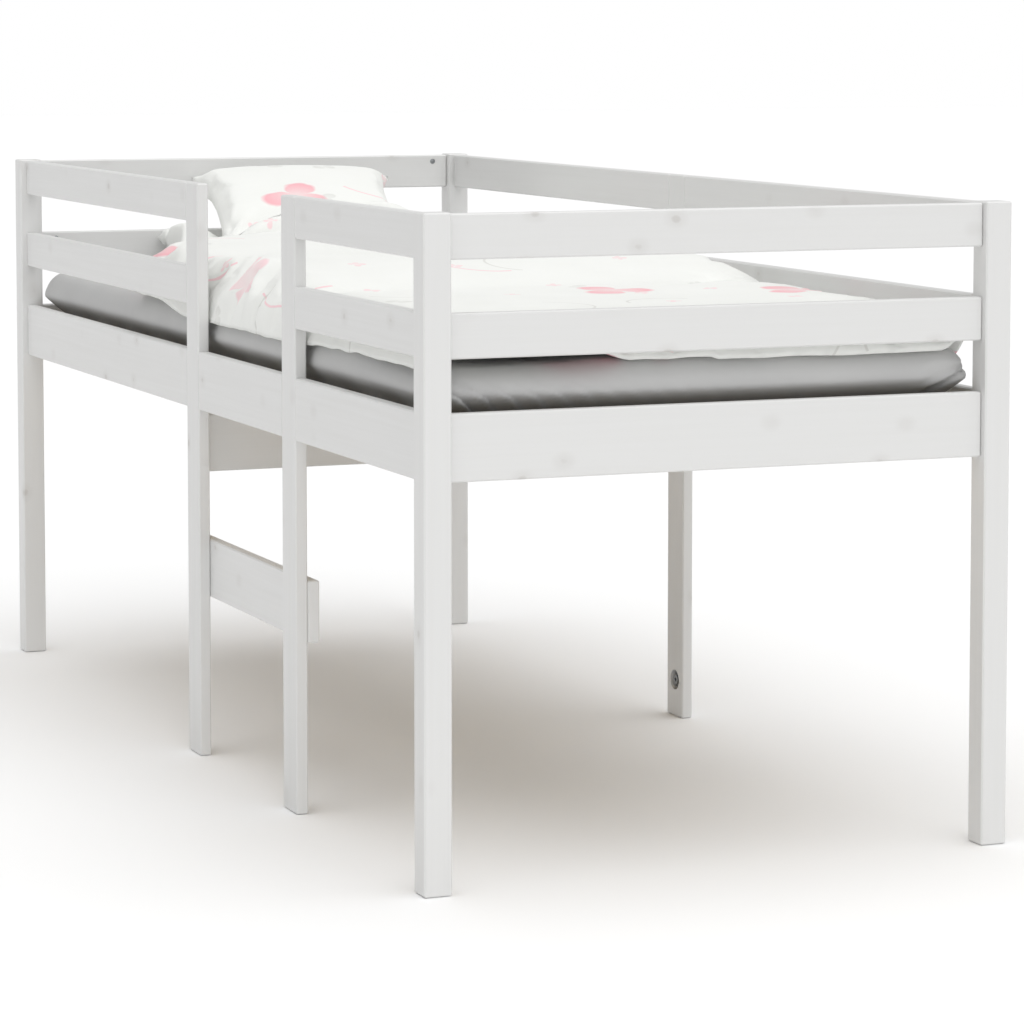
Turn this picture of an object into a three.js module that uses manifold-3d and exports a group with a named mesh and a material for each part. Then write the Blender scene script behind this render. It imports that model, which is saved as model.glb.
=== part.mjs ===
// Mid-height bed in painted pine with a ladder in one long side, guard rails all round, slats and bedding.
//
// Frame: millimetres, +Z up, +X towards the foot end, -Y the ladder side.
// The origin is on the floor under the middle of the bed.

import * as THREE from 'three';
import { RoundedBoxGeometry } from 'three/addons/geometries/RoundedBoxGeometry.js';
import { mergeVertices } from 'three/addons/utils/BufferGeometryUtils.js';
import Module from 'manifold-3d';

const wasm = await Module();
wasm.setup();

// ---- Driving dimensions ----------------------------------------------------------------------

const LENGTH = 2085;
const WIDTH = 865;
const HEIGHT = 895;

const POST = 39; // square corner posts
const BOARD = 18; // thickness of every flat board
const NARROW = 60; // width of guard rails, ladder uprights and middle leg
const WIDE = 90; // width of bed rails, rung board and cross rail
const EASE = 2; // broken edges on all timber
const GAP = 0.3; // clearance between pieces that meet

const BED_RAIL_Z = 542.5; // underside of the bed rails
const LOW_GUARD_Z = 703.5; // underside of the lower guard rails
const TOP_GUARD_Z = 833; // underside of the upper guard rails
const UPRIGHT_TOP = TOP_GUARD_Z + NARROW; // flat uprights end level with the top guard rails
const CROSS_RAIL_Z = 443;
const RUNG_Z = 249;
const LADDER_NEAR = 464.5; // centre of the foot-side ladder upright along X; the other one is at X = 0

const SLAT = { count: 12, width: 100, thickness: 15 };
const LEDGE = { depth: 22, height: 25 };
const LEDGE_Z = 553;

const MATTRESS = { length: 2000, width: 792, height: 100, radius: 38 };
const DUVET = { start: -592, end: 1006, width: 796, height: 54, radius: 24 };
const LOWER_PILLOW = { start: -1008, end: -604, width: 560, height: 74, radius: 30, y: 40 };
const UPPER_PILLOW = { width: 384, y: 30, inset: 22 };
const SOFT_GAP = 1.5; // air between one soft piece and the next

const BOLT = { radius: 3, inPost: 24, inRail: 40 };
const BARREL = { radius: 5, length: 13, inset: 28.5 };
const BORE_PLAY = 0.3; // radial clearance of every bore
const BORE_SIDES = 10;
const END_BOLT_DROP = { [NARROW]: 12, [WIDE]: 25 }; // below the rail's top, in rails across the bed
const SIDE_BOLT_DROP = { [NARROW]: 30, [WIDE]: 50 }; // the same, in rails along the bed

const FOOT_BOLT = { z: 60, cupRadius: 16.5, cupDepth: 9, washer: 15, head: 8, headHeight: 6, shank: 4 };
const FOOT_BOLT_SIDES = 24;

// ---- Places worked out from them -------------------------------------------------------------

const POST_X = (LENGTH - POST) / 2; // centre line of the corner posts and end rails
const POST_Y = (WIDTH - POST) / 2; // centre line of the corner posts and side rails
const CLEAR_X = POST_X - POST / 2; // inner faces of the corner posts
const CLEAR_Y = POST_Y - POST / 2;
const RAIL_INNER_Y = POST_Y - BOARD / 2; // inner faces of the side rails and flat uprights
const SLAT_Z = LEDGE_Z + LEDGE.height + GAP;
const MATTRESS_Z = SLAT_Z + SLAT.thickness + GAP;
const BEDDING_Z = MATTRESS_Z + MATTRESS.height + SOFT_GAP;

const GUARD_LEVELS = [
  { name: 'bed_rail', z: BED_RAIL_Z, width: WIDE },
  { name: 'lower_guard', z: LOW_GUARD_Z, width: NARROW },
  { name: 'upper_guard', z: TOP_GUARD_Z, width: NARROW },
];

// ---- Materials -------------------------------------------------------------------------------

const paintedPine = new THREE.MeshStandardMaterial({ color: 0xf1f1ef, roughness: 0.45, metalness: 0 });
const barePine = new THREE.MeshStandardMaterial({ color: 0xe0c294, roughness: 0.7, metalness: 0 });
const zincSteel = new THREE.MeshStandardMaterial({ color: 0x7d8083, roughness: 0.35, metalness: 1 });
const sheetCotton = new THREE.MeshStandardMaterial({ color: 0xdcdddf, roughness: 0.9, metalness: 0 });
const whiteCotton = new THREE.MeshStandardMaterial({ color: 0xf7f7f5, roughness: 0.95, metalness: 0 });

// ---- Solids ----------------------------------------------------------------------------------

function solidOf(geometry) {
  const plain = geometry.index ? geometry.toNonIndexed() : geometry.clone();
  plain.deleteAttribute('normal');
  plain.deleteAttribute('uv');
  const merged = mergeVertices(plain, 1e-4);
  return new wasm.Manifold(new wasm.Mesh({
    numProp: 3,
    vertProperties: new Float32Array(merged.attributes.position.array),
    triVerts: new Uint32Array(merged.index.array),
  }));
}

function geometryOf(solid) {
  const mesh = solid.getMesh();
  const geometry = new THREE.BufferGeometry();
  geometry.setAttribute('position', new THREE.BufferAttribute(new Float32Array(mesh.vertProperties), 3));
  geometry.setIndex(new THREE.BufferAttribute(new Uint32Array(mesh.triVerts), 1));
  const flat = geometry.toNonIndexed();
  flat.computeVertexNormals();
  return flat;
}

// A board centred on the origin with all twelve edges broken. size holds its extent along X, Y and Z.
function boardGeometry(size) {
  const [x, y, z] = size;
  const outline = new THREE.Shape([
    new THREE.Vector2(-x / 2 + EASE, -y / 2),
    new THREE.Vector2(x / 2 - EASE, -y / 2),
    new THREE.Vector2(x / 2, -y / 2 + EASE),
    new THREE.Vector2(x / 2, y / 2 - EASE),
    new THREE.Vector2(x / 2 - EASE, y / 2),
    new THREE.Vector2(-x / 2 + EASE, y / 2),
    new THREE.Vector2(-x / 2, y / 2 - EASE),
    new THREE.Vector2(-x / 2, -y / 2 + EASE),
  ]);
  const geometry = new THREE.ExtrudeGeometry(outline, {
    depth: z - 2 * EASE,
    steps: 1,
    bevelEnabled: true,
    bevelThickness: EASE,
    bevelSize: EASE,
    bevelOffset: -EASE,
    bevelSegments: 1,
  });
  geometry.translate(0, 0, -z / 2 + EASE);
  return geometry;
}

// A round bar from one point along a direction.
function barGeometry(start, direction, length, radius, sides) {
  const along = new THREE.Vector3(...direction).normalize();
  const geometry = new THREE.CylinderGeometry(radius, radius, length, sides);
  geometry.applyQuaternion(new THREE.Quaternion().setFromUnitVectors(new THREE.Vector3(0, 1, 0), along));
  geometry.translate(
    start[0] + along.x * length / 2,
    start[1] + along.y * length / 2,
    start[2] + along.z * length / 2,
  );
  return geometry;
}

const bed = new THREE.Group();

function place(name, geometry, material, centre) {
  const mesh = new THREE.Mesh(geometry, material);
  mesh.name = name;
  mesh.position.set(...centre);
  bed.add(mesh);
  return mesh;
}

// A board with round bores cut into it. Each bore is given in the bed's own frame.
function placeTimber(name, centre, size, bores = [], material = paintedPine) {
  let geometry = boardGeometry(size);
  if (bores.length > 0) {
    let solid = solidOf(geometry);
    for (const bore of bores) {
      const cutter = barGeometry(bore.start, bore.direction, bore.length, bore.radius, bore.sides ?? BORE_SIDES);
      cutter.translate(-centre[0], -centre[1], -centre[2]);
      solid = solid.subtract(solidOf(cutter));
    }
    geometry = geometryOf(solid);
  }
  return place(name, geometry, material, centre);
}

// ---- Joints: a bolt in the upright, caught by a barrel nut in the rail's end ------------------

// One joint between an upright and a rail's end.
// face is the point on the upright's face where the bolt leaves it, along is the direction into the rail,
// and inner is the direction from the rail's middle to the face in which the barrel nut shows.
function jointAt(face, along, inner) {
  return { face: new THREE.Vector3(...face), along: new THREE.Vector3(...along), inner: new THREE.Vector3(...inner) };
}

function uprightBore(joint, depth = BOLT.inPost) {
  const start = joint.face.clone().addScaledVector(joint.along, -depth);
  return {
    start: start.toArray(),
    direction: joint.along.toArray(),
    length: depth + 5,
    radius: BOLT.radius + BORE_PLAY,
  };
}

function railBores(joint) {
  const boltStart = joint.face.clone().addScaledVector(joint.along, -5);
  const nutStart = joint.face.clone()
    .addScaledVector(joint.along, BARREL.inset)
    .addScaledVector(joint.inner, BOARD / 2 - BARREL.length);
  return [
    {
      start: boltStart.toArray(),
      direction: joint.along.toArray(),
      length: BOLT.inRail + 6,
      radius: BOLT.radius + BORE_PLAY,
    },
    {
      start: nutStart.toArray(),
      direction: joint.inner.toArray(),
      length: BARREL.length + 5,
      radius: BARREL.radius + BORE_PLAY,
    },
  ];
}

function placeConnector(name, joint, inUpright = BOLT.inPost) {
  const boltStart = joint.face.clone().addScaledVector(joint.along, GAP - inUpright);
  const bolt = solidOf(barGeometry(
    boltStart.toArray(),
    joint.along.toArray(),
    inUpright + BOLT.inRail - GAP,
    BOLT.radius,
    BORE_SIDES,
  ));
  const nutStart = joint.face.clone()
    .addScaledVector(joint.along, BARREL.inset)
    .addScaledVector(joint.inner, BOARD / 2 - BARREL.length + GAP);
  const nut = solidOf(barGeometry(
    nutStart.toArray(),
    joint.inner.toArray(),
    BARREL.length - 2 * GAP,
    BARREL.radius,
    BORE_SIDES,
  ));
  place(name, geometryOf(bolt.add(nut)), zincSteel, [0, 0, 0]);
}

// ---- Rails -----------------------------------------------------------------------------------

const uprightBores = new Map(); // upright's name to the bores that its rails ask for
const connectors = []; // the joints that carry the sleeping level

function askBore(upright, joint, depth) {
  if (!uprightBores.has(upright)) {
    uprightBores.set(upright, []);
  }
  uprightBores.get(upright).push(uprightBore(joint, depth));
}

// A rail along the bed between two uprights. side is -1 on the ladder side and +1 on the far side. The
// barrel nuts of both sides show in the faces that look away from the ladder.
function placeSideRail(name, side, level, low, high) {
  const y = side * POST_Y;
  const boltZ = level.z + level.width - SIDE_BOLT_DROP[level.width];
  const start = jointAt([low.x, y, boltZ], [1, 0, 0], [0, 1, 0]);
  const end = jointAt([high.x, y, boltZ], [-1, 0, 0], [0, 1, 0]);
  askBore(low.upright, start);
  askBore(high.upright, end);
  if (level.name === 'bed_rail') {
    for (const [upright, joint] of [[low.upright, start], [high.upright, end]]) {
      if (upright.startsWith('post')) {
        connectors.push({ name: `connector_${upright.slice(5)}_side`, joint });
      }
    }
  }
  placeTimber(
    name,
    [(low.x + high.x) / 2, y, level.z + level.width / 2],
    [high.x - low.x - 2 * GAP, BOARD, level.width],
    [...railBores(start), ...railBores(end)],
  );
}

// A rail across the bed between the two corner posts of one end.
function placeEndRail(end, side, level) {
  const x = side * POST_X;
  const boltZ = level.z + level.width - END_BOLT_DROP[level.width];
  const bores = [];
  for (const [sign, corner] of [[-1, 'ladder_side'], [1, 'far_side']]) {
    const joint = jointAt([x, sign * CLEAR_Y, boltZ], [0, -sign, 0], [-side, 0, 0]);
    askBore(`post_${end}_${corner}`, joint);
    bores.push(...railBores(joint));
    if (level.name === 'bed_rail') {
      connectors.push({ name: `connector_${end}_${corner}_end`, joint });
    }
  }
  placeTimber(
    `${end}_${level.name}`,
    [x, 0, level.z + level.width / 2],
    [BOARD, 2 * (CLEAR_Y - GAP), level.width],
    bores,
  );
}

const headPost = (side) => ({ upright: `post_head_${side}`, x: -CLEAR_X });
const footPost = (side) => ({ upright: `post_foot_${side}`, x: CLEAR_X });
const before = (upright, x) => ({ upright, x: x - NARROW / 2 });
const after = (upright, x) => ({ upright, x: x + NARROW / 2 });

for (const level of GUARD_LEVELS) {
  const { name } = level;
  placeSideRail(`ladder_side_${name}_head`, -1, level, headPost('ladder_side'), before('ladder_upright_middle', 0));
  placeSideRail(
    `ladder_side_${name}_foot`, -1, level, after('ladder_upright_foot', LADDER_NEAR), footPost('ladder_side'),
  );
  placeSideRail(`far_side_${name}_head`, 1, level, headPost('far_side'), before('middle_leg', 0));
  placeSideRail(`far_side_${name}_foot`, 1, level, after('middle_leg', 0), footPost('far_side'));
  placeEndRail('head', -1, level);
  placeEndRail('foot', 1, level);
}
placeSideRail(
  'ladder_side_bed_rail_entry', -1, GUARD_LEVELS[0],
  after('ladder_upright_middle', 0), before('ladder_upright_foot', LADDER_NEAR),
);

// The cross rail ties the middle ladder upright to the middle leg, below the slats.
const crossBoltZ = CROSS_RAIL_Z + WIDE - END_BOLT_DROP[WIDE];
const crossDepth = BOARD - 4; // blind in the flat uprights
const crossBores = [];
for (const [sign, upright] of [[-1, 'ladder_upright_middle'], [1, 'middle_leg']]) {
  const joint = jointAt([0, sign * RAIL_INNER_Y, crossBoltZ], [0, -sign, 0], [-1, 0, 0]);
  askBore(upright, joint, crossDepth);
  crossBores.push(...railBores(joint));
  connectors.push({ name: `connector_${upright}`, joint, depth: crossDepth });
}
placeTimber(
  'cross_rail',
  [0, 0, CROSS_RAIL_Z + WIDE / 2],
  [BOARD, 2 * (RAIL_INNER_Y - GAP), WIDE],
  crossBores,
);

for (const { name, joint, depth } of connectors) {
  placeConnector(name, joint, depth);
}

// ---- Uprights --------------------------------------------------------------------------------

for (const [end, xSide] of [['head', -1], ['foot', 1]]) {
  for (const [corner, ySide] of [['ladder_side', -1], ['far_side', 1]]) {
    const name = `post_${end}_${corner}`;
    placeTimber(
      name,
      [xSide * POST_X, ySide * POST_Y, HEIGHT / 2],
      [POST, POST, HEIGHT],
      uprightBores.get(name),
    );
  }
}

for (const [name, x] of [['ladder_upright_middle', 0], ['ladder_upright_foot', LADDER_NEAR]]) {
  placeTimber(name, [x, -POST_Y, UPRIGHT_TOP / 2], [NARROW, BOARD, UPRIGHT_TOP], uprightBores.get(name));
}

// The middle leg also takes a bolt in a wide cup near the floor.
placeTimber('middle_leg', [0, POST_Y, UPRIGHT_TOP / 2], [NARROW, BOARD, UPRIGHT_TOP], [
  ...uprightBores.get('middle_leg'),
  {
    start: [0, RAIL_INNER_Y + FOOT_BOLT.cupDepth, FOOT_BOLT.z],
    direction: [0, -1, 0],
    length: FOOT_BOLT.cupDepth + 5,
    radius: FOOT_BOLT.cupRadius,
    sides: FOOT_BOLT_SIDES,
  },
  {
    start: [0, RAIL_INNER_Y + BOARD + 5, FOOT_BOLT.z],
    direction: [0, -1, 0],
    length: BOARD,
    radius: FOOT_BOLT.shank + BORE_PLAY,
    sides: FOOT_BOLT_SIDES,
  },
]);

function placeFootBolt() {
  const floorY = RAIL_INNER_Y + FOOT_BOLT.cupDepth - GAP; // bottom of the cup
  const washerThickness = 1.6;
  const overlap = 0.5;
  const bar = (y, length, radius, sides) =>
    solidOf(barGeometry([0, y, FOOT_BOLT.z], [0, -1, 0], length, radius, sides));
  const washer = bar(floorY, washerThickness, FOOT_BOLT.washer, FOOT_BOLT_SIDES);
  const headY = floorY - washerThickness + overlap;
  const head = bar(headY, FOOT_BOLT.headHeight, FOOT_BOLT.head, FOOT_BOLT_SIDES);
  const shankLength = BOARD - FOOT_BOLT.cupDepth + overlap;
  const shank = bar(floorY - overlap + shankLength, shankLength, FOOT_BOLT.shank, FOOT_BOLT_SIDES);
  const socketDepth = 3.5;
  const socket = bar(headY - FOOT_BOLT.headHeight + socketDepth, socketDepth + 1, 3.5, 6);
  const bolt = washer.add(head).add(shank).subtract(socket);
  place('middle_leg_bolt', geometryOf(bolt), zincSteel, [0, 0, 0]);
}
placeFootBolt();

// ---- Ladder rung -----------------------------------------------------------------------------

// One wide board screwed on behind the two uprights, from the far edge of one to the near edge of the other.
const rungStart = -NARROW / 2;
const rungEnd = LADDER_NEAR + NARROW / 2;
placeTimber(
  'ladder_rung',
  [(rungStart + rungEnd) / 2, -RAIL_INNER_Y + GAP + BOARD / 2, RUNG_Z + WIDE / 2],
  [rungEnd - rungStart, BOARD, WIDE],
);

// ---- Ledges and slats ------------------------------------------------------------------------

for (const [side, ySide] of [['ladder_side', -1], ['far_side', 1]]) {
  for (const [end, xSide] of [['head', -1], ['foot', 1]]) {
    placeTimber(
      `ledge_${side}_${end}`,
      [xSide * CLEAR_X / 2, ySide * (RAIL_INNER_Y - GAP - LEDGE.depth / 2), LEDGE_Z + LEDGE.height / 2],
      [CLEAR_X - 2 * GAP, LEDGE.depth, LEDGE.height],
    );
  }
}

const slatTravel = 2 * CLEAR_X - SLAT.width - 2;
for (let i = 0; i < SLAT.count; i += 1) {
  placeTimber(
    `slat_${String(i + 1).padStart(2, '0')}`,
    [-slatTravel / 2 + slatTravel * i / (SLAT.count - 1), 0, SLAT_Z + SLAT.thickness / 2],
    [SLAT.width, 2 * (RAIL_INNER_Y - 4), SLAT.thickness],
    [],
    barePine,
  );
}

// ---- Bedding ---------------------------------------------------------------------------------

function softBlock(size, radius) {
  return new RoundedBoxGeometry(...size, 3, radius);
}

place(
  'mattress',
  softBlock([MATTRESS.length, MATTRESS.width, MATTRESS.height], MATTRESS.radius),
  sheetCotton,
  [0, 0, MATTRESS_Z + MATTRESS.height / 2],
);

place(
  'duvet',
  softBlock([DUVET.end - DUVET.start, DUVET.width, DUVET.height], DUVET.radius),
  whiteCotton,
  [(DUVET.start + DUVET.end) / 2, 0, BEDDING_Z + DUVET.height / 2],
);

place(
  'pillow_lower',
  softBlock([LOWER_PILLOW.end - LOWER_PILLOW.start, LOWER_PILLOW.width, LOWER_PILLOW.height], LOWER_PILLOW.radius),
  whiteCotton,
  [(LOWER_PILLOW.start + LOWER_PILLOW.end) / 2, LOWER_PILLOW.y, BEDDING_Z + LOWER_PILLOW.height / 2],
);

// The upper pillow leans on the head end: a wedge that is thick at the head and thin towards the foot.
function leaningPillow() {
  const base = BEDDING_Z + LOWER_PILLOW.height + SOFT_GAP;
  const side = new THREE.Shape([
    new THREE.Vector2(-1004, base),
    new THREE.Vector2(-624, base),
    new THREE.Vector2(-600, base + 24),
    new THREE.Vector2(-640, base + 46),
    new THREE.Vector2(-975, base + 106),
    new THREE.Vector2(-1004, base + 92),
  ]);
  const geometry = new THREE.ExtrudeGeometry(side, {
    depth: UPPER_PILLOW.width - 2 * UPPER_PILLOW.inset,
    bevelEnabled: true,
    bevelThickness: UPPER_PILLOW.inset,
    bevelSize: 8,
    bevelOffset: -8,
    bevelSegments: 2,
  });
  geometry.rotateX(Math.PI / 2); // the outline's second axis becomes +Z, and the depth runs along -Y
  geometry.translate(0, UPPER_PILLOW.y + UPPER_PILLOW.width / 2 - UPPER_PILLOW.inset, 0);
  return geometry;
}
place('pillow_upper', leaningPillow(), whiteCotton, [0, 0, 0]);

export default bed;
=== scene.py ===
import math

import bmesh
import bpy
import numpy as np
from mathutils import Matrix, Vector, noise
from mathutils.bvhtree import BVHTree


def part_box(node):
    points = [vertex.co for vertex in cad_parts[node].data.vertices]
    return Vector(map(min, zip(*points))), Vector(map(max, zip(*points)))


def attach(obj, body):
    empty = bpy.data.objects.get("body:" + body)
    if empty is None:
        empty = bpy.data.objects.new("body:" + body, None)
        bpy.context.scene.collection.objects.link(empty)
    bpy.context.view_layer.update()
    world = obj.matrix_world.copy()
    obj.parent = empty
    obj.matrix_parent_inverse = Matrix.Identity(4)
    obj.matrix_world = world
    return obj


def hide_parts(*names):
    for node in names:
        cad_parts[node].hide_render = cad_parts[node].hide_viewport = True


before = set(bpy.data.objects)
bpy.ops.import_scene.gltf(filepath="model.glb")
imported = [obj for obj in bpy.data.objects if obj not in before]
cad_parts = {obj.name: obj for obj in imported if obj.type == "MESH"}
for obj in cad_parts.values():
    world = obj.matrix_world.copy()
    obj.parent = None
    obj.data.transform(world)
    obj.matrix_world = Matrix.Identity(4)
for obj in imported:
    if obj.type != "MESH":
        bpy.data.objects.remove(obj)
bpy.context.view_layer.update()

bl_info = {
    "name": "Mid-height Bed Finish",
    "version": (1, 0, 0),
    "blender": (4, 5, 0),
    "location": "View3D > Sidebar > Bed",
    "description": "Paint, fittings, mattress, pillows and duvet for a pine bed with a ladder",
    "category": "Object",
}

MM = 0.001

# ---- Places taken from the frame -------------------------------------------------------------------

MATTRESS_LOW, MATTRESS_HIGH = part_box("mattress")
DUVET_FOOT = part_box("duvet")[1].x
LOWER_PILLOW_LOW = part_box("pillow_lower")[0]
UPPER_PILLOW_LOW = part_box("pillow_upper")[0]
RAIL_INNER_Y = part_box("far_side_bed_rail_head")[0].y
RAIL_INNER_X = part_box("foot_bed_rail")[0].x
RAIL_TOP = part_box("foot_bed_rail")[1].z
POST_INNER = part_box("post_foot_far_side")[0]
FRAME_NODES = sorted(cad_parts)
TIMBER_NODES = [
    node for node in FRAME_NODES
    if node.startswith(("post", "ladder", "far_side", "head", "foot", "middle_leg", "cross_rail", "ledge"))
    and not node.endswith("bolt")
]
SLAT_NODES = [node for node in FRAME_NODES if node.startswith("slat")]


# ---- Small tools -----------------------------------------------------------------------------------

def colour(value):
    """A shader colour from an sRGB hex value such as 0xF2F2F0."""
    linear = []
    for shift in (16, 8, 0):
        channel = (value >> shift & 255) / 255
        linear.append(channel / 12.92 if channel <= 0.04045 else ((channel + 0.055) / 1.055) ** 2.4)
    return (*linear, 1.0)


def add_node(tree, kind, inputs=None, **settings):
    """Adds a node. inputs gives each socket, by name or number, a value or the socket that feeds it."""
    node = tree.nodes.new(kind)
    for name, value in settings.items():
        setattr(node, name, value)
    for name, value in (inputs or {}).items():
        if isinstance(value, bpy.types.NodeSocket):
            tree.links.new(value, node.inputs[name])
        else:
            node.inputs[name].default_value = value
    return node


def math_node(tree, operation, *values):
    """The result of a sum on values or sockets."""
    return add_node(tree, "ShaderNodeMath", dict(enumerate(values)), operation=operation).outputs[0]


def new_material(name):
    """An empty node material with its Principled shader already on the output."""
    material = bpy.data.materials.new(name)
    material.use_nodes = True
    tree = material.node_tree
    tree.nodes.clear()
    shader = tree.nodes.new("ShaderNodeBsdfPrincipled")
    add_node(tree, "ShaderNodeOutputMaterial", {"Surface": shader.outputs["BSDF"]})
    return material, tree, shader


def give_material(piece, material):
    """Makes a material the piece's only one."""
    piece.data.materials.clear()
    piece.data.materials.append(material)


def finish_piece(piece, material, replaced=()):
    """Gives a finished piece its material and its place in the table."""
    give_material(piece, material)
    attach(piece, "root")
    if replaced:
        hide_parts(*replaced)


def deselect_all():
    """Leaves edit mode and clears the selection."""
    if bpy.context.object and bpy.context.object.mode != "OBJECT":
        bpy.ops.object.mode_set(mode="OBJECT")
    bpy.ops.object.select_all(action="DESELECT")


def select_only(piece):
    """Makes a piece the selected and active one."""
    deselect_all()
    piece.select_set(True)
    bpy.context.view_layer.objects.active = piece


def apply_modifier(piece, modifier):
    """Applies a modifier to the piece's mesh."""
    select_only(piece)
    bpy.ops.object.modifier_apply(modifier=modifier.name)


def bevel_edges(piece, width, segments):
    """Rounds a turned or sawn shape's sharp edges."""
    bevel = piece.modifiers.new("Edges", "BEVEL")
    bevel.width = width
    bevel.segments = segments
    bevel.limit_method = "ANGLE"
    apply_modifier(piece, bevel)


def combine(piece, other, operation):
    """Cuts another shape out of a piece, or joins it on, and removes the other shape."""
    boolean = piece.modifiers.new("Combine", "BOOLEAN")
    boolean.operation = operation
    boolean.object = other
    apply_modifier(piece, boolean)
    bpy.data.objects.remove(other)


def finish_pattern(piece):
    """Moves a pattern's place, turn and scale into its mesh, and shades its round faces smooth."""
    select_only(piece)
    bpy.ops.object.transform_apply(location=True, rotation=True, scale=True)
    bpy.ops.object.shade_smooth_by_angle(angle=math.radians(35))


def copy_to(pattern, name, turn, place):
    """A copy of a pattern with a mesh of its own, turned and then moved within its mesh."""
    piece = pattern.copy()
    piece.data = pattern.data.copy()
    piece.name = piece.data.name = name
    bpy.context.scene.collection.objects.link(piece)
    piece.data.transform(turn.to_4x4())
    piece.data.transform(Matrix.Translation(place))
    return piece


def points_of(piece):
    """The mesh's points, one in each row."""
    points = np.empty(len(piece.data.vertices) * 3)
    piece.data.vertices.foreach_get("co", points)
    return points.reshape(-1, 3)


def set_points(piece, points):
    """Moves the mesh's points."""
    piece.data.vertices.foreach_set("co", points.ravel())
    piece.data.update()


def ease(value):
    """0 below 0, 1 above 1, and a smooth step between them."""
    value = np.clip(value, 0.0, 1.0)
    return value * value * (3 - 2 * value)


# ---- Materials -------------------------------------------------------------------------------------

def painted_pine(name, axis, paint):
    """White satin paint over planed softwood. The grain telegraphs through as fine ridges along the board,
    and resinous knots bleed through as faint grey-brown ovals."""
    material, tree, shader = new_material(name)
    place = add_node(tree, "ShaderNodeTexCoord").outputs["Object"]

    grain_scale = [1 / (paint.grain_width * 2)] * 3
    grain_scale[axis] = 1 / 0.35  # one streak runs about 350 mm
    grain_place = add_node(tree, "ShaderNodeMapping", {"Vector": place, "Scale": grain_scale})
    grain = add_node(
        tree, "ShaderNodeTexNoise",
        {
            "Vector": grain_place.outputs[0], "Scale": 1.0, "Detail": 4.0, "Roughness": 0.6,
            "Distortion": 0.3,
        },
    )

    # Knots: cells about 90 mm apart along the board, and most of them hold a knot.
    knot_scale = [1 / 0.065] * 3
    knot_scale[axis] = 1 / 0.09
    knot_place = add_node(tree, "ShaderNodeMapping", {"Vector": place, "Scale": knot_scale})
    warp = add_node(
        tree, "ShaderNodeTexNoise", {"Vector": knot_place.outputs[0], "Scale": 5.0, "Detail": 2.0},
    )
    warped = add_node(
        tree, "ShaderNodeVectorMath",
        {0: warp.outputs["Color"], 1: (0.06, 0.06, 0.06), 2: knot_place.outputs[0]},
        operation="MULTIPLY_ADD",
    )
    cells = add_node(
        tree, "ShaderNodeTexVoronoi", {"Vector": warped.outputs[0], "Scale": 1.0, "Randomness": 1.0},
    )
    chance = add_node(tree, "ShaderNodeSeparateColor", {"Color": cells.outputs["Color"]})
    holds_knot = math_node(tree, "GREATER_THAN", chance.outputs[0], 1 - paint.knot_share)
    core = add_node(
        tree, "ShaderNodeMapRange",
        {"Value": cells.outputs["Distance"], "From Min": 0.12, "From Max": 0.04},
        interpolation_type="SMOOTHSTEP",
    )
    halo = add_node(
        tree, "ShaderNodeMapRange",
        {"Value": cells.outputs["Distance"], "From Min": 0.26, "From Max": 0.08, "To Max": 0.3},
        interpolation_type="SMOOTHSTEP",
    )
    stain = math_node(tree, "MAXIMUM", core.outputs[0], halo.outputs[0])
    knot = math_node(tree, "MULTIPLY", stain, holds_knot)
    bleed = math_node(tree, "MULTIPLY", knot, paint.knot_bleed)

    streak = add_node(
        tree, "ShaderNodeMapRange",
        {"Value": grain.outputs[0], "From Min": 0.35, "From Max": 0.7, "To Max": paint.grain_bleed},
    )
    grained = add_node(
        tree, "ShaderNodeMix",
        {0: streak.outputs[0], 6: colour(0xE1E1E0), 7: colour(0xC5C2BA)}, data_type="RGBA",
    )
    stained = add_node(
        tree, "ShaderNodeMix",
        {0: bleed, 6: grained.outputs[2], 7: colour(0x8F8478)}, data_type="RGBA",
    )
    tree.links.new(stained.outputs[2], shader.inputs["Base Color"])

    # Paint skin: a slight orange peel a few millimetres across, over the ridges of the grain.
    peel = add_node(tree, "ShaderNodeTexNoise", {"Vector": place, "Scale": 1 / (3 * MM), "Detail": 2.0})
    relief = math_node(tree, "MULTIPLY_ADD", peel.outputs[0], 0.25, grain.outputs[0])
    sunk = math_node(tree, "MULTIPLY_ADD", knot, -0.5, relief)
    bump = add_node(
        tree, "ShaderNodeBump", {"Strength": 0.25, "Distance": 0.12 * MM, "Height": sunk},
    )
    tree.links.new(bump.outputs[0], shader.inputs["Normal"])
    gloss = add_node(
        tree, "ShaderNodeMapRange",
        {"Value": grain.outputs[0], "From Min": 0.3, "From Max": 0.7, "To Min": 0.36, "To Max": 0.5},
    )
    tree.links.new(gloss.outputs[0], shader.inputs["Roughness"])
    shader.inputs["IOR"].default_value = 1.48  # dried acrylic
    return material


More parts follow.
